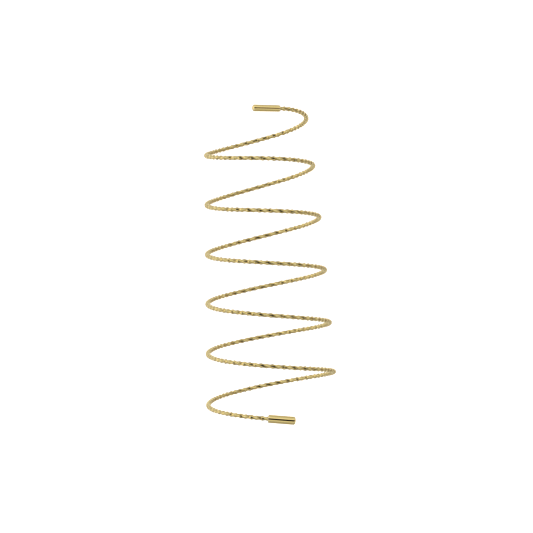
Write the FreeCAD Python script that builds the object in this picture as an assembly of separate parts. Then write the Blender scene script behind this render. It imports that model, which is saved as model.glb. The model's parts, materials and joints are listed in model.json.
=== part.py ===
import FreeCAD, Part
import math
import os

# A long springy coil of wire with a polished cap on each end.
#
# Frame: +Z up, along the coil; +X to the right; +Y away from the side that both caps
# are on.  The origin is the middle of the upper cap's barrel, where the coil is held.
# Seen from above, the wire turns anticlockwise on its way down: a left-hand coil.
# Lengths are in millimetres and angles in degrees.

# Wire
wire_d = 2.15             # mean diameter of the wire over its cut sides

# Coil, measured on the wire's centre line
radius_top = 25.4         # where the wire leaves the upper cap
radius_bottom = 32.8      # where it enters the lower cap
radius_bulge = 0.76       # added half way down, so the radius grows faster at first
turn_pitch = 25.7         # drop per turn
pitch_wave = 0.56         # upper turns sit a little high and lower turns a little low
start_angle = -61.7       # of the wire's first point, from +X
coil_angle = 2128.0       # wound between the caps, just under six turns
axis_drift = 8.65         # the last turn's centre is this far to +X of the first one's
axis_bow = 0.8            # and the centres between bow out by this much
turn_tilt = 4.97          # turns rise to the right by this angle
tilt_wave = 2.2           # more in the upper half, less in the lower half
turn_nod = 0.47           # turns rise away from the front by this angle
nod_wave = 0.6            # less at the ends of the coil, more in its middle
tail_share = 0.04         # this much of the wire, at the lower end,
tail_drop = 1.05          # bends down by this much
sway = 0.97               # the upper turns are wound a little up and down, by up to this,
sway_share = 0.25         # in waves that each take up this share of the wire,
sway_start = 0.16         # one of which starts to rise here
sway_end = 0.7            # they fade away by here
upper_cap_slope = -0.9    # the wire leaves the upper cap almost level
lower_cap_slope = 4.1     # and enters the lower cap at this slope, downwards

# The wire is one length.  It is cut into arcs, so that its twist has places to go.
arc_count = 24

# End caps: turned barrels with a blind bore, rounded at the closed end
upper_cap_d = 3.5
upper_cap_length = 14.9
lower_cap_d = 4.2
lower_cap_length = 13.6
cap_mouth_edge = 0.2      # rounding of the rim at the bore
cap_end_edge = 0.95       # rounding of the closed end
bore_gap = 0.03           # between the wire and the bore, all round
bore_share = 0.68         # of the cap's length that is bored

vector = FreeCAD.Vector


def sine(degrees):
    return math.sin(math.radians(degrees))


def cosine(degrees):
    return math.cos(math.radians(degrees))


def tangent_of(degrees):
    return math.tan(math.radians(degrees))


def coil_point(share):
    """Centre line of the wire, from share 0 at the upper cap to 1 at the lower one."""
    angle = start_angle + coil_angle * share
    hump = 4 * share * (1 - share)
    wave = sine(360 * share)
    radius = radius_top + (radius_bottom - radius_top) * share + radius_bulge * hump
    tilt = turn_tilt + tilt_wave * wave
    nod = turn_nod - nod_wave * cosine(360 * share)
    right = radius * cosine(angle)
    back = radius * sine(angle)
    height = pitch_wave * wave - turn_pitch * coil_angle / 360 * share
    height += right * tangent_of(tilt) + back * tangent_of(nod)
    fade = max(0, 1 - share / sway_end) ** 2
    height += sway * fade * sine(360 * (share - sway_start) / sway_share)
    height -= tail_drop * max(0, 1 - (1 - share) / tail_share) ** 2
    return vector(axis_drift * share + axis_bow * hump + right, back, height)


def coil_direction(share):
    """Unit tangent of the centre line, on the way down."""
    step = 1e-5
    return (coil_point(share + step) - coil_point(share - step)).normalize()


def sloped(way, slope):
    """The same heading as way, but falling at the given slope."""
    level = vector(way.x, way.y, 0).normalize()
    return level * cosine(slope) - vector(0, 0, sine(slope))


def meeting_point(start, start_way, end, end_way):
    """Where two circular arcs with equal tangent lengths meet smoothly."""
    chord = end - start
    ways = start_way + end_way
    spread = 2 * (1 - start_way.dot(end_way))
    along = chord.dot(ways)
    length = (math.sqrt(along ** 2 + spread * chord.dot(chord)) - along) / spread
    return (start + end + (start_way - end_way) * length) * 0.5


def bent_rod(start, way, end):
    """Round rod along the circular arc that leaves start in the direction way."""
    chord = end - start
    half_turn = chord.getAngle(way)
    radius = chord.Length / (2 * math.sin(half_turn))
    pole = way.cross(chord).normalize()
    centre = start + pole.cross(way) * radius
    rim = Part.Circle(start, way, wire_d / 2).toShape()
    section = Part.Face(Part.Wire(rim))
    return section.revolve(centre, pole, math.degrees(2 * half_turn))


def straight_rod(start, way, length):
    return Part.makeCylinder(wire_d / 2, length, start, way)


def wire_arc(number):
    """One arc of the wire, numbered from 1 at the upper cap."""
    start, start_way = cut_points[number - 1]
    end, end_way = cut_points[number]
    middle = meeting_point(start, start_way, end, end_way)
    half_way = middle_direction(start, start_way, middle)
    solid = bent_rod(start, start_way, middle).fuse(bent_rod(middle, half_way, end))
    if number == 1:
        solid = solid.fuse(straight_rod(start, -start_way, wire_in_cap(upper_cap_length)))
    if number == arc_count:
        solid = solid.fuse(straight_rod(end, end_way, wire_in_cap(lower_cap_length)))
    return solid.Solids[0]


def middle_direction(start, way, middle):
    """Direction at the far end of the arc from start to middle."""
    chord = (middle - start).normalize()
    return chord * (2 * chord.dot(way)) - way


def wire_in_cap(cap_length):
    """Straight length of wire that a cap's bore holds; it stops short of the bottom."""
    return cap_length * bore_share - 2 * bore_gap


def end_cap(mouth, way, diameter, length):
    """Barrel on the wire's end: its mouth at the point mouth, its closed end along way."""
    outer = diameter / 2
    inner = wire_d / 2 + bore_gap
    depth = length * bore_share
    lean = math.sqrt(0.5)
    rim = [
        vector(inner, 0, 0),
        vector(outer - cap_mouth_edge, 0, 0),
        vector(outer - cap_mouth_edge * (1 - lean), 0, cap_mouth_edge * (1 - lean)),
        vector(outer, 0, cap_mouth_edge),
    ]
    crown = [
        vector(outer, 0, length - cap_end_edge),
        vector(outer - cap_end_edge * (1 - lean), 0, length - cap_end_edge * (1 - lean)),
        vector(outer - cap_end_edge, 0, length),
    ]
    bottom = [vector(0, 0, length), vector(0, 0, depth), vector(inner, 0, depth), rim[0]]
    edges = [
        Part.makeLine(rim[0], rim[1]),
        Part.Arc(rim[1], rim[2], rim[3]).toShape(),
        Part.makeLine(rim[3], crown[0]),
        Part.Arc(crown[0], crown[1], crown[2]).toShape(),
        Part.makeLine(crown[2], bottom[0]),
    ]
    edges += [Part.makeLine(a, b) for a, b in zip(bottom, bottom[1:])]
    profile = Part.Face(Part.Wire(edges))
    solid = profile.revolve(vector(0, 0, 0), vector(0, 0, 1), 360)
    turn = FreeCAD.Rotation(vector(0, 0, 1), way)
    solid.Placement = FreeCAD.Placement(mouth, turn)
    return solid


# The wire's cuts: where they are and which way the wire runs there.  The whole object
# is shifted so that the middle of the upper cap is at the origin.
directions = [coil_direction(n / arc_count) for n in range(arc_count + 1)]
directions[0] = sloped(directions[0], upper_cap_slope)
directions[-1] = sloped(directions[-1], lower_cap_slope)
upper_cap_middle = coil_point(0) - directions[0] * (upper_cap_length / 2)
cut_points = [
    (coil_point(n / arc_count) - upper_cap_middle, way) for n, way in enumerate(directions)
]

parts = {
    "upper_end_cap": end_cap(cut_points[0][0], -cut_points[0][1], upper_cap_d, upper_cap_length),
    "lower_end_cap": end_cap(cut_points[-1][0], cut_points[-1][1], lower_cap_d, lower_cap_length),
}
for number in range(1, arc_count + 1):
    parts["wire_arc_%02d" % number] = wire_arc(number)

os.makedirs("parts", exist_ok=True)
for name, shape in parts.items():
    shape.exportStep("parts/" + name + ".step")
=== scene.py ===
import json
import math
import random

import bpy
import numpy as np
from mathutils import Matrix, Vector

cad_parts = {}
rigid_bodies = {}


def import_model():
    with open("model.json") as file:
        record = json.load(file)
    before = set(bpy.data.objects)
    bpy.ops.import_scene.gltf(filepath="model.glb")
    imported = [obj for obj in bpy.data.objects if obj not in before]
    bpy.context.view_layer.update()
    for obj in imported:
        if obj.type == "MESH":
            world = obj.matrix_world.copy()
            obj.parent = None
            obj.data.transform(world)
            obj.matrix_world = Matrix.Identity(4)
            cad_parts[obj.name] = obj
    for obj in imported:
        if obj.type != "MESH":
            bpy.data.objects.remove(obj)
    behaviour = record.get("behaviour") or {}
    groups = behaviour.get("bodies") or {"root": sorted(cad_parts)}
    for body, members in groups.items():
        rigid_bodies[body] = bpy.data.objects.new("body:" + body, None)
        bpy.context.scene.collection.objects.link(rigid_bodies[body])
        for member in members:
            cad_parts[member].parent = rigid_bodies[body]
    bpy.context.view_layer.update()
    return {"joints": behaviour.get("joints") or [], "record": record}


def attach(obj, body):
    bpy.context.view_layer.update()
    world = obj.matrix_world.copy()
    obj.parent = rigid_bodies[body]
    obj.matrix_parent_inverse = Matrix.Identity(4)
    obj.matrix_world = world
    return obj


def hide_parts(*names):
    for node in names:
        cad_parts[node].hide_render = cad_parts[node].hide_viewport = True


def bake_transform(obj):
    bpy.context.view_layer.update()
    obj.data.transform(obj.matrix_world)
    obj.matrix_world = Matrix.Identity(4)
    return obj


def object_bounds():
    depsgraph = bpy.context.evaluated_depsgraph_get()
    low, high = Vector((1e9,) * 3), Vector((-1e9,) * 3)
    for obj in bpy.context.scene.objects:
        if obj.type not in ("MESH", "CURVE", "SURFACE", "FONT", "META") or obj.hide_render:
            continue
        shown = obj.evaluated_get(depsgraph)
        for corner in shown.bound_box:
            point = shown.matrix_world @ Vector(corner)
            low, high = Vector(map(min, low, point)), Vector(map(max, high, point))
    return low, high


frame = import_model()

# A springy coil of gold-coloured wire with a polished cap on each end.
#
# Everything is in metres, in the CAD's frame: +Z up along the coil, and the camera looks
# along +Y, with +X to its right.

MM = 0.001

# The wire: twisted, many-sided, with a scoop cut round it every few millimetres
sides = 6
twist_rate = -11.4 / MM       # degrees for each metre of wire
twist_start = 17.6            # degrees, at the upper cap's mouth
twist_wander = 5.0            # the twist runs ahead or behind by up to this many degrees,
wander_step = 30 * MM         # and changes over about this length
wander_seed = 3
side_radius = 0.9 * MM        # from the centre line to the middle of a side, in a scoop
side_crown = 0.45             # 0 for flat sides, 1 for round ones
scoop_step = 2.89 * MM        # from one scoop to the next
scoop_radius = 3.05 * MM      # of the scoop's hollow, along the wire
round_radius = 1.25 * MM      # the ridges are cut off round at this radius
swell = 0.012                 # the wire is thicker or thinner by up to this share,
swell_step = 9 * MM           # and changes over about this length
swell_seed = 5
columns_per_side = 8          # points round the wire, on each side
rows_per_scoop = 8            # and rings of points along it, in each scoop
line_step = 0.1 * MM          # between the points of the centre line
cap_reach = 7.0 * MM          # how far the wire runs into each cap
wire_in_bore = 1.07 * MM      # its radius there
blend_margin = 3 * MM         # points this far in from each end of a run are looked up, but nothing uses them

# The caps: their outside is the CAD's, apart from a slightly domed end
upper_cap = {"diameter": 3.5 * MM, "length": 14.9 * MM}
lower_cap = {"diameter": 4.2 * MM, "length": 13.6 * MM}
cap_lip = 0.2 * MM            # rounding of the rim at the mouth
cap_crown = 0.95 * MM         # rounding of the closed end
dome_lean = math.radians(22)  # slope of the domed end where the rounding stops
cap_bore = 1.105 * MM         # radius of the bore
bore_chamfer = 0.12 * MM
bore_room = 0.2 * MM          # past the end of the wire
bore_point = 0.2 * MM         # the bore's bottom is this much deeper in its middle
edge_wear = 0.9 * MM          # how far the rubbing of a cap's rims reaches
wear_radius = 0.5             # and only outside this share of its radius
lip_points = 7                # points of a cap's outline, in each of its stretches
barrel_points = 15
crown_points = 12
dome_points = 8
cap_columns = 96              # points round a cap

# Metal: colours of the wire and of the caps, darker, lighter and rubbed
wire_dark = (0.625, 0.49, 0.19)
wire_light = (0.71, 0.565, 0.237)
wire_worn = (0.80, 0.67, 0.34)
cap_dark = (0.78, 0.615, 0.25)
cap_light = (0.86, 0.69, 0.30)
cap_worn = (0.88, 0.75, 0.42)

# Metal: patterns. A scale is in waves for each metre, and stretch multiplies it along
# the piece and in the two directions across.
wire_cloud = {"scale": 260, "detail": 3}
rubbing_cloud = {"scale": 700, "detail": 2}
cutter_lines = {"scale": 2600, "detail": 2, "stretch": (1, 0.4, 0.4)}
turning_marks = {"scale": 900, "detail": 4, "stretch": (6, 1, 1)}
handling = {"scale": 330, "detail": 3}
ridge_power = 8               # the higher, the nearer to the ridges the rubbing stays
bump_depth = 0.02 * MM
cutter_bump = 0.12            # share of bump_depth that the cutter lines have
turning_bump = 0.08           # and the turning marks
wire_gloss = (0.12, 0.22)     # roughness, from least to most
cap_gloss = (0.03, 0.08)
worn_gloss = 0.1              # what rubbing adds to it
tone_span = (0.3, 0.7)        # noise: from darker to lighter, or from glossier to duller
rubbing_span = (0.35, 0.6)    # noise: from the least to the most rubbing
wire_rubbing = (0.4, 1.2)     # the least and the most of it
cap_rubbing = (0.3, 1.0)

# Light: the studio as the metal sees it. A direction has three parts from -1 to 1: across
# is to the right, ahead is away from the camera, above is up. A span gives the values
# between which a level changes.
top_light = 0.75
floor_light = 0.53
horizon_span = (-0.2, 0.2)         # above: from floor_light to top_light
front_light = 0.45                 # added on the camera's side, over and under the dark band
front_height_span = (0.5, 0.95)    # height over the band's middle: from all of it to none
front_ahead_span = (-0.4, 0.2)     # ahead: from all of it to none
back_light = 0.75                  # share of the light that is left behind the coil
back_span = (-0.3, 0.4)            # ahead: from all of the light to that share

# Light: a dark band lies level on the camera's side, where the metal mirrors nothing
dark_turn = math.radians(6)        # its middle is this far round to the right
dark_rise = 0.04                   # and this high
dark_edge_span = (0.29, 0.36)      # height over its middle: from dark to light
dark_taper = (0.85, 1.2)           # heights count as this many times as much
dark_taper_span = (-1, -0.4)       # from the band's middle round to its sides
dark_reach_span = (-0.8, -0.1)     # from the band's middle on: where its darkness fades
dark_left = 0.1                    # and how much is left behind the coil
side_dark = 0.65                   # darkness of the band on the right
side_across_span = (0.45, 0.85)    # across: where it begins
side_ahead_span = (0.35, 0.75)     # ahead: where it ends
dark_tint = (1.0, 0.66, 0.42)      # colour of what light there is in the dark

# Light: three glows, at the far left, at the far right and on the backdrop
left_glow = 0.58
left_span = (-0.98, -0.75)
right_glow = 0.15
right_span = (0.85, 0.99)
backdrop_glow = 1.15
backdrop_span = (0.55, 0.95)

# The camera and its frame
coil_depth = 25.8 * MM          # from the upper cap back to the axis of the coil
camera_distance = 1028.6 * MM   # from there to the camera
view_width = 273.4 * MM         # what the frame spans at the coil's axis
aim_right = -1.8 * MM           # from the middle of the box to the middle of the frame
aim_up = -1.2 * MM
sensor_width = 36.0

# The floor, which bends up into a backdrop
floor_height = -0.33
floor_front = -4.0
backdrop_place = 2.5
backdrop_height = 3.0
floor_half_width = 4.0
floor_bend = 0.5              # radius of the bend
floor_bend_steps = 12
floor_colour = (0.9, 0.9, 0.9, 1)
floor_roughness = 0.9
floor_glow = 0.5


# ---------------------------------------------------------------- the centre line

def unit(v):
    return v / np.linalg.norm(v)


def meeting_point(start, start_way, end, end_way):
    """Where two circular arcs with equal tangent lengths meet smoothly, as in the CAD."""
    chord = end - start
    along = chord @ (start_way + end_way)
    spread = 2 * (1 - start_way @ end_way)
    length = (math.sqrt(along ** 2 + spread * (chord @ chord)) - along) / spread
    return (start + end + (start_way - end_way) * length) / 2


def arc(start, way, end):
    """Points and directions along the circular arc, without its last point."""
    chord = end - start
    size = np.linalg.norm(chord)
    half_turn = math.acos(np.clip(way @ chord / size, -1, 1))
    radius = size / (2 * math.sin(half_turn))
    inward = unit(chord - way * (chord @ way))
    count = int(size / line_step)
    turn = 2 * half_turn * np.arange(count)[:, None] / count
    points = start + radius * (way * np.sin(turn) + inward * (1 - np.cos(turn)))
    ways = way * np.cos(turn) + inward * np.sin(turn)
    return points, ways


def mount(name):
    """A mount's place and axis."""
    found = next(m for m in frame["record"]["mounts"] if m["name"] == name)
    return np.array(found["pos_m"], float), unit(np.array(found["axis"], float))


def wire_knots():
    """The wire's joints and both ends: each one's place and the wire's direction there."""
    place, out = mount("upper_cap_grip")
    knots = [(place - out * upper_cap["length"] / 2, -out)]
    for joint in frame["joints"]:
        knots.append((np.array(joint["pos_m"], float), -unit(np.array(joint["axis"], float))))
    place, out = mount("lower_cap_grip")
    knots.append((place - out * lower_cap["length"] / 2, out))
    return knots


def centre_line(knots):
    """Dense points and directions along the wire, from inside one cap to inside the other,
    their distances along it, and each knot's. Distance 0 is at the upper cap's mouth."""
    points, ways = [], []
    for (start, start_way), (end, end_way) in zip(knots, knots[1:]):
        middle = meeting_point(start, start_way, end, end_way)
        chord = unit(middle - start)
        middle_way = 2 * (chord @ start_way) * chord - start_way
        for a, way, b in ((start, start_way, middle), (middle, middle_way, end)):
            arc_points, arc_ways = arc(a, way, b)
            points.append(arc_points)
            ways.append(arc_ways)
    points.append(knots[-1][0][None])
    ways.append(knots[-1][1][None])
    points, ways = np.concatenate(points), np.concatenate(ways)
    along = np.concatenate([[0], np.cumsum(np.linalg.norm(np.diff(points, axis=0), axis=1))])
    marks = [along[np.argmin(np.linalg.norm(points - p, axis=1))] for p, _ in knots]
    reach = np.arange(line_step, cap_reach + line_step, line_step)
    before = points[0] - reach[::-1, None] * ways[0]
    after = points[-1] + reach[:, None] * ways[-1]
    points = np.concatenate([before, points, after])
    ways = np.concatenate([np.repeat(ways[:1], len(reach), 0), ways,
                           np.repeat(ways[-1:], len(reach), 0)])
    along = np.concatenate([-reach[::-1], along, along[-1] + reach])
    return points, ways, along, marks


def mirrored(v, axis):
    """The vector v, mirrored in the plane square to axis."""
    return v - (2 / (axis @ axis)) * (axis @ v) * axis


def carried_normals(points, ways):
    """A direction across the wire that never twists about it: from point to point it is
    mirrored twice, once along the line between them and once to fit the new direction."""
    too_small = 1e-18
    normal = unit(np.cross(ways[0], [0.0, 0.0, 1.0]))
    normals = [normal]
    for i in range(len(points) - 1):
        line = points[i + 1] - points[i]
        normal = mirrored(normal, line)
        turn = ways[i + 1] - mirrored(ways[i], line)
        if turn @ turn >= too_small:
            normal = mirrored(normal, turn)
        normal = unit(normal - (normal @ ways[i + 1]) * ways[i + 1])
        normals.append(normal)
    return np.array(normals)


def smooth_noise(seed, step, length):
    """A slowly changing random value between -1 and 1 along the wire."""
    dice = random.Random(seed)
    spare = 4
    values = [dice.uniform(-1, 1) for _ in range(int(length / step) + spare)]

    def at(s):
        x = max(0.0, s / step + 1)
        i = int(x)
        f = x - i
        f = f * f * (3 - 2 * f)
        return values[i] * (1 - f) + values[i + 1] * f
    return at


knots = wire_knots()
line_points, line_ways, line_along, marks = centre_line(knots)
line_normals = carried_normals(line_points, line_ways)
wire_length = marks[-1]
wander_at = smooth_noise(wander_seed, wander_step, wire_length + 2 * cap_reach)
swell_at = smooth_noise(swell_seed, swell_step, wire_length + 2 * cap_reach)


def line_at(s):
    """Place, direction and two directions across the wire, at distances s along it."""
    def at(values):
        return np.stack([np.interp(s, line_along, values[:, k]) for k in range(3)], axis=1)
    way = at(line_ways)
    way /= np.linalg.norm(way, axis=1)[:, None]
    normal = at(line_normals)
    normal -= (normal * way).sum(1)[:, None] * way
    normal /= np.linalg.norm(normal, axis=1)[:, None]
    return at(line_points), way, normal, np.cross(way, normal)


# ---------------------------------------------------------------- meshes

def closed_tube(name, points, around, clockwise=False):
    """A smooth piece with its points in rings, and its last two points in the middle of
    its two ends. Its faces point outwards. The rings run anticlockwise about the tube's
    direction, unless clockwise is true."""
    rings = len(points) // around
    faces = []
    for ring in range(rings - 1):
        for i in range(around):
            a = ring * around + i
            b = ring * around + (i + 1) % around
            faces.append((a, b, b + around, a + around))
    last = (rings - 1) * around
    for i in range(around):
        j = (i + 1) % around
        faces.append((i, rings * around, j))
        faces.append((last + i, last + j, rings * around + 1))
    if clockwise:
        faces = [face[:1] + face[:0:-1] for face in faces]
    return new_object(name, [tuple(p) for p in points], faces)


def new_object(name, points, faces):
    mesh = bpy.data.meshes.new(name)
    mesh.from_pydata(points, [], faces)
    mesh.update()
    mesh.shade_smooth()
    thing = bpy.data.objects.new(name, mesh)
    bpy.context.scene.collection.objects.link(thing)
    return thing


def set_numbers(piece, name, numbers):
    """Gives each point of the piece a number that its material reads."""
    attribute = piece.data.attributes.new(name, "FLOAT", "POINT")
    attribute.data.foreach_set("value", np.array(numbers, np.float32))


def set_places(piece, name, places):
    """Gives each point of the piece its place in the material's own map."""
    attribute = piece.data.attributes.new(name, "FLOAT_VECTOR", "POINT")
    attribute.data.foreach_set("vector", np.array(places, np.float32).ravel())


# ---------------------------------------------------------------- the cut wire

columns = sides * columns_per_side


def ring_shape(row):
    """Radius and nearness to a ridge, round one ring of points across a scoop.
    Nearness is 0 in the middle of each hollow and 1 on the ridges round it."""
    lengthways = row / rows_per_scoop * 2 - 1
    sideways = np.arange(columns) % columns_per_side / columns_per_side * 2 - 1
    rise = (lengthways * scoop_step / 2) ** 2 / (2 * scoop_radius)
    flat_side = 1 / np.cos(sideways * (math.pi / sides))
    radius = (side_radius + rise) * flat_side ** (1 - side_crown)
    nearness = np.maximum(abs(lengthways), np.abs(sideways)) ** ridge_power
    return np.minimum(radius, round_radius), nearness


def wire_rings(rows, along):
    """Radius, nearness to a ridge and angle of each point of the rings at distances along."""
    shapes = [ring_shape(row % rows_per_scoop) for row in rows]
    size = np.array([1 + swell * swell_at(a + cap_reach) for a in along])
    radius = np.array([shape[0] for shape in shapes]) * size[:, None]
    hidden = (along < 0) | (along > wire_length)
    radius[hidden] = np.minimum(radius[hidden], wire_in_bore)
    ridge = np.array([shape[1] for shape in shapes])
    roll = [twist_start + twist_rate * a + twist_wander * wander_at(a + cap_reach)
            for a in along]
    angle = np.radians(roll)[:, None] + math.tau * np.arange(columns) / columns
    return radius.ravel(), ridge.ravel(), angle.ravel()


def wire_mesh(name, first, last):
    """The cut wire from ridge number first to ridge number last, closed at both ends.
    Ridges go round the wire, between its scoops; number 0 is at the upper cap's mouth."""
    rows = np.arange(first * rows_per_scoop, last * rows_per_scoop + 1)
    along = rows * scoop_step / rows_per_scoop
    radius, ridge, angle = wire_rings(rows, along)
    s = np.repeat(along, columns)
    place, way, normal, side = line_at(s)
    points = place + radius[:, None] * (normal * np.cos(angle)[:, None]
                                        + side * np.sin(angle)[:, None])
    ends = line_at(along[[0, -1]])[0]
    piece = closed_tube(name, np.concatenate([points, ends]), columns)
    mark_ridges(piece.data, len(rows))
    set_numbers(piece, "ridge", np.concatenate([ridge, [0, 0]]))
    local = np.stack([s, radius * np.cos(angle), radius * np.sin(angle)], axis=1)
    set_places(piece, "wire_place", np.concatenate([local, np.zeros((2, 3))]))
    return piece


def mark_ridges(mesh, rings):
    """Sharp ridges between the sides, between the scoops and round the ends."""
    pairs = np.zeros(len(mesh.edges) * 2, np.int64)
    mesh.edges.foreach_get("vertices", pairs)
    a, b = pairs.reshape(-1, 2).T
    same_ring = a // columns == b // columns
    between_scoops = same_ring & (a // columns % rows_per_scoop == 0)
    between_sides = ~same_ring & (a % columns_per_side == 0)
    at_end = np.maximum(a, b) >= rings * columns
    attribute = mesh.attributes.new("sharp_edge", "BOOLEAN", "EDGE")
    attribute.data.foreach_set("value", between_scoops | between_sides | at_end)


# ---------------------------------------------------------------- the caps

def cap_profile(diameter, length):
    """(radius, distance from the mouth) from the bore's bottom round to the closed end."""
    outer = diameter / 2
    bottom = cap_reach + bore_room
    profile = [
        (0.0, bottom + bore_point),
        (cap_bore, bottom),
        (cap_bore, bore_chamfer),
        (cap_bore + bore_chamfer, 0.0),
    ]
    for turn in np.linspace(0, math.pi / 2, lip_points):
        profile.append((outer - cap_lip * (1 - math.sin(turn)), cap_lip * (1 - math.cos(turn))))
    for height in np.linspace(cap_lip, length - cap_crown, barrel_points)[1:-1]:
        profile.append((outer, height))
    for turn in np.linspace(0, math.pi / 2 - dome_lean, crown_points):
        profile.append((outer - cap_crown * (1 - math.cos(turn)),
                        length - cap_crown * (1 - math.sin(turn))))
    rim, height = profile[-1]
    ball = rim / math.sin(dome_lean)
    top = height + ball * (1 - math.cos(dome_lean))
    for lean in np.linspace(dome_lean, 0, dome_points)[1:]:
        profile.append((ball * math.sin(lean), top - ball * (1 - math.cos(lean))))
    return profile


def cap_mesh(name, mouth, out, diameter, length):
    """A turned barrel, closed at its outer end, with its mouth at the point mouth."""
    side = unit(np.cross(out, [0.0, 0.0, 1.0]))
    up = np.cross(side, out)
    profile = cap_profile(diameter, length)
    places = []
    for radius, height in profile[1:-1]:
        for turn in math.tau * np.arange(cap_columns) / cap_columns:
            places.append((height, radius * math.cos(turn), radius * math.sin(turn)))
    places += [(profile[0][1], 0, 0), (profile[-1][1], 0, 0)]
    places = np.array(places)
    points = mouth + places @ np.array([out, side, up])
    piece = closed_tube(name, points, cap_columns, clockwise=True)
    set_places(piece, "cap_place", places)
    height, reach = places[:, 0], np.hypot(places[:, 1], places[:, 2])
    from_end = np.minimum(height, length - height)
    at_edge = np.clip(1 - from_end / edge_wear, 0, 1) * (reach > wear_radius * diameter / 2)
    set_numbers(piece, "cap_edge", at_edge)
    return piece


# ---------------------------------------------------------------- nodes

def math_node(tree, operation, *values):
    """The result of a calculation; each value is a number or a socket."""
    node = tree.nodes.new("ShaderNodeMath")
    node.operation = operation
    for socket, value in zip(node.inputs, values):
        if isinstance(value, (int, float)):
            socket.default_value = value
        else:
            tree.links.new(value, socket)
    return node.outputs["Value"]


def ramp(tree, value, span, levels, smooth=False):
    """From the first level to the second as value goes over the span."""
    node = tree.nodes.new("ShaderNodeMapRange")
    node.interpolation_type = "SMOOTHSTEP" if smooth else "LINEAR"
    tree.links.new(value, node.inputs["Value"])
    for key, number in (("From Min", span[0]), ("From Max", span[1]),
                        ("To Min", levels[0]), ("To Max", levels[1])):
        node.inputs[key].default_value = number
    return node.outputs["Result"]


def mixed_colour(tree, factor, first, second):
    """The colour between first and second; each is a colour or a socket."""
    node = tree.nodes.new("ShaderNodeMix")
    node.data_type = "RGBA"
    tree.links.new(factor, node.inputs["Factor"])
    for key, colour in (("A", first), ("B", second)):
        if isinstance(colour, tuple):
            node.inputs[key].default_value = (*colour, 1)
        else:
            tree.links.new(colour, node.inputs[key])
    return node.outputs["Result"]


def attribute_node(tree, name):
    node = tree.nodes.new("ShaderNodeAttribute")
    node.attribute_name = name
    return node


def noise(tree, place, scale, detail, stretch=(1, 1, 1)):
    """Noise over the map, stretched by the given factors."""
    mapping = tree.nodes.new("ShaderNodeMapping")
    mapping.inputs["Scale"].default_value = stretch
    tree.links.new(place, mapping.inputs["Vector"])
    texture = tree.nodes.new("ShaderNodeTexNoise")
    texture.inputs["Scale"].default_value = scale
    texture.inputs["Detail"].default_value = detail
    tree.links.new(mapping.outputs["Vector"], texture.inputs["Vector"])
    return texture.outputs["Fac"]


# ---------------------------------------------------------------- materials

def new_material(name):
    """A material, its nodes and its shader."""
    material = bpy.data.materials.new(name)
    material.use_nodes = True
    tree = material.node_tree
    return material, tree, tree.nodes["Principled BSDF"]


def worn_metal(tree, shader, tone, gloss, edge, rubbing, worn):
    """Metal of the given tone and gloss, rubbed paler and duller at its edges."""
    shader.inputs["Metallic"].default_value = 1.0
    wear = math_node(tree, "MULTIPLY", attribute_node(tree, edge).outputs["Fac"], rubbing)
    tree.links.new(mixed_colour(tree, wear, tone, worn), shader.inputs["Base Color"])
    dull = math_node(tree, "MULTIPLY_ADD", wear, worn_gloss, gloss)
    tree.links.new(dull, shader.inputs["Roughness"])


def add_bump(tree, shader, height, strength):
    bump = tree.nodes.new("ShaderNodeBump")
    bump.inputs["Strength"].default_value = strength
    bump.inputs["Distance"].default_value = bump_depth
    tree.links.new(height, bump.inputs["Height"])
    tree.links.new(bump.outputs["Normal"], shader.inputs["Normal"])


def gold_wire():
    """Slow changes of tone, unevenly rubbed ridges, and fine lines from the cutter."""
    material, tree, shader = new_material("gold_wire")
    place = attribute_node(tree, "wire_place").outputs["Vector"]
    cloud = noise(tree, place, **wire_cloud)
    tone = mixed_colour(tree, ramp(tree, cloud, tone_span, (0, 1)), wire_dark, wire_light)
    rubbing = ramp(tree, noise(tree, place, **rubbing_cloud), rubbing_span, wire_rubbing)
    lines = noise(tree, place, **cutter_lines)
    gloss = ramp(tree, lines, (0, 1), wire_gloss)
    worn_metal(tree, shader, tone, gloss, "ridge", rubbing, wire_worn)
    add_bump(tree, shader, lines, cutter_bump)
    return material


def gold_cap():
    """Turning marks round the barrel, a soft cloud of handling, and rubbed rims."""
    material, tree, shader = new_material("gold_cap")
    place = attribute_node(tree, "cap_place").outputs["Vector"]
    turned = noise(tree, place, **turning_marks)
    handled = noise(tree, place, **handling)
    tone = mixed_colour(tree, turned, cap_dark, cap_light)
    rubbing = ramp(tree, handled, rubbing_span, cap_rubbing)
    gloss = ramp(tree, handled, tone_span, cap_gloss)
    worn_metal(tree, shader, tone, gloss, "cap_edge", rubbing, cap_worn)
    add_bump(tree, shader, turned, turning_bump)
    return material


def floor_white():
    """Plain white, glowing a little so that it stays pale under the studio."""
    material, tree, shader = new_material("floor_white")
    shader.inputs["Base Color"].default_value = floor_colour
    shader.inputs["Roughness"].default_value = floor_roughness
    shader.inputs["Emission Color"].default_value = (1, 1, 1, 1)
    shader.inputs["Emission Strength"].default_value = floor_glow
    return material


# ---------------------------------------------------------------- the pieces

def dress(piece, material):
    piece.data.materials.append(material)


wire_gold = gold_wire()
cap_gold = gold_cap()

# The wire's pieces meet near the middle of each of the CAD's arcs, at the nearest ridge.
# Each run crosses one joint and is left fixed in place, attached to no body.
bodies = [frame["joints"][0]["parent"]] + [joint["child"] for joint in frame["joints"]]
middles = [(a + b) / 2 for a, b in zip(marks, marks[1:])]
cuts = [round(middle / scoop_step) for middle in middles]
first_ridge = math.floor(-cap_reach / scoop_step) + 1
last_ridge = math.ceil((wire_length + cap_reach) / scoop_step) - 1

head = wire_mesh("wire_top", first_ridge, cuts[0])
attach(head, bodies[0])
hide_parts("wire_arc_01")
dress(head, wire_gold)

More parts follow.
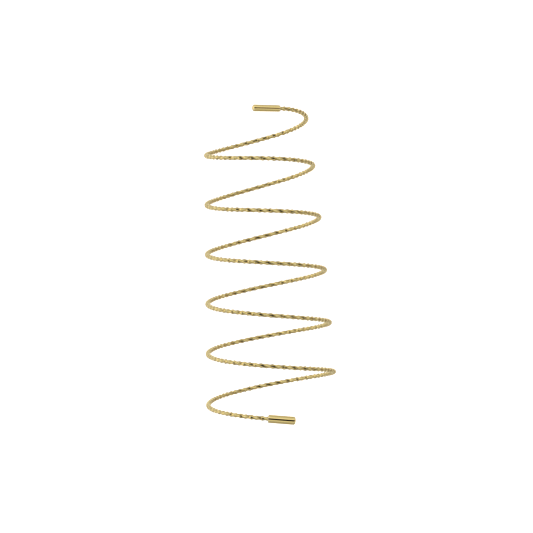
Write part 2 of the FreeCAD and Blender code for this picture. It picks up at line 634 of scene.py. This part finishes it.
for k in range(1, len(bodies)):
    run = wire_mesh("wire_run_%02d" % k, cuts[k - 1], cuts[k])
    ends = line_at(np.array([cuts[k - 1], cuts[k]], float) * scoop_step
                   + np.array([blend_margin, -blend_margin]))[0]
    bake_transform(run)
    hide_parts("wire_arc_%02d" % k, "wire_arc_%02d" % (k + 1))
    dress(run, wire_gold)

tail = wire_mesh("wire_bottom", cuts[-1], last_ridge)
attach(tail, bodies[-1])
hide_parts("wire_arc_24")
dress(tail, wire_gold)

for name, node, body, mouth, out, size in (
    ("cap_upper", "upper_end_cap", bodies[0], knots[0][0], -knots[0][1], upper_cap),
    ("cap_lower", "lower_end_cap", bodies[-1], knots[-1][0], knots[-1][1], lower_cap),
):
    cap = cap_mesh(name, mouth, out, size["diameter"], size["length"])
    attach(cap, body)
    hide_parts(node)
    dress(cap, cap_gold)


# ---------------------------------------------------------------- camera, light, floor

def add_camera():
    """Level with the coil and well in front of it, looking along +Y."""
    low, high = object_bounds()
    middle = (Vector(low) + Vector(high)) / 2
    camera_data = bpy.data.cameras.new("camera")
    camera_data.sensor_width = sensor_width
    camera_data.lens = sensor_width * camera_distance / view_width
    camera_data.clip_start = 0.05
    camera_data.clip_end = 50.0
    camera = bpy.data.objects.new("camera", camera_data)
    camera.location = (middle.x + aim_right, coil_depth - camera_distance, middle.z + aim_up)
    camera.rotation_euler = (math.radians(90), 0, 0)
    bpy.context.scene.collection.objects.link(camera)
    bpy.context.scene.camera = camera


def add_studio():
    """The light that the metal sees. The camera itself sees plain white all round."""
    world = bpy.data.worlds.new("studio")
    bpy.context.scene.world = world
    world.use_nodes = True
    tree = world.node_tree

    def calculated(operation, *values):
        return math_node(tree, operation, *values)

    def step(value, span, levels):
        return ramp(tree, value, span, levels, smooth=True)

    parts = tree.nodes.new("ShaderNodeSeparateXYZ")
    tree.links.new(tree.nodes.new("ShaderNodeTexCoord").outputs["Generated"], parts.inputs[0])
    across, ahead, above = parts.outputs
    seen = tree.nodes.new("ShaderNodeLightPath").outputs["Is Camera Ray"]

    # facing is -1 at the middle of the dark band and 1 on the far side of the coil
    facing = calculated("ADD", calculated("MULTIPLY", ahead, math.cos(dark_turn)),
                        calculated("MULTIPLY", across, -math.sin(dark_turn)))
    height = calculated("ABSOLUTE", calculated("SUBTRACT", above, dark_rise))
    height = calculated("MULTIPLY", height, step(facing, dark_taper_span, dark_taper))
    band = step(height, dark_edge_span, (1, 0))
    right = calculated("MULTIPLY", step(across, side_across_span, (0, side_dark)),
                       step(ahead, side_ahead_span, (1, 0)))
    reach = calculated("MAXIMUM", step(facing, dark_reach_span, (1, dark_left)), right)
    shade = calculated("SUBTRACT", 1, calculated("MULTIPLY", band, reach))

    front = calculated("MULTIPLY", step(height, front_height_span, (front_light, 0)),
                       step(ahead, front_ahead_span, (1, 0)))
    sky = calculated("ADD", step(above, horizon_span, (floor_light, top_light)), front)
    level = calculated("MULTIPLY", calculated("MULTIPLY", sky, shade),
                       step(ahead, back_span, (1, back_light)))
    glow = calculated("ADD", step(across, left_span, (left_glow, 0)),
                      step(across, right_span, (0, right_glow)))
    backdrop = step(ahead, backdrop_span, (0, backdrop_glow))
    level = calculated("ADD", calculated("ADD", level, glow), backdrop)

    background = tree.nodes["Background"]
    tint = mixed_colour(tree, calculated("MAXIMUM", shade, seen), dark_tint, (1, 1, 1))
    tree.links.new(tint, background.inputs["Color"])
    tree.links.new(calculated("MAXIMUM", level, seen), background.inputs["Strength"])


def add_floor():
    """A floor that curves up into a backdrop behind the coil, unseen by the metal."""
    bend_start = backdrop_place - floor_bend
    profile = [(floor_front, floor_height), (bend_start, floor_height)]
    for i in range(1, floor_bend_steps + 1):
        turn = math.pi / 2 * i / floor_bend_steps
        profile.append((bend_start + floor_bend * math.sin(turn),
                        floor_height + floor_bend * (1 - math.cos(turn))))
    profile.append((backdrop_place, backdrop_height))
    points = [(x, y, z) for y, z in profile for x in (-floor_half_width, floor_half_width)]
    faces = [(2 * i, 2 * i + 1, 2 * i + 3, 2 * i + 2) for i in range(len(profile) - 1)]
    floor = new_object("floor", points, faces)
    floor.data.materials.append(floor_white())
    floor.visible_glossy = False


add_camera()
add_studio()
add_floor()
bpy.context.scene.view_settings.view_transform = "Standard"
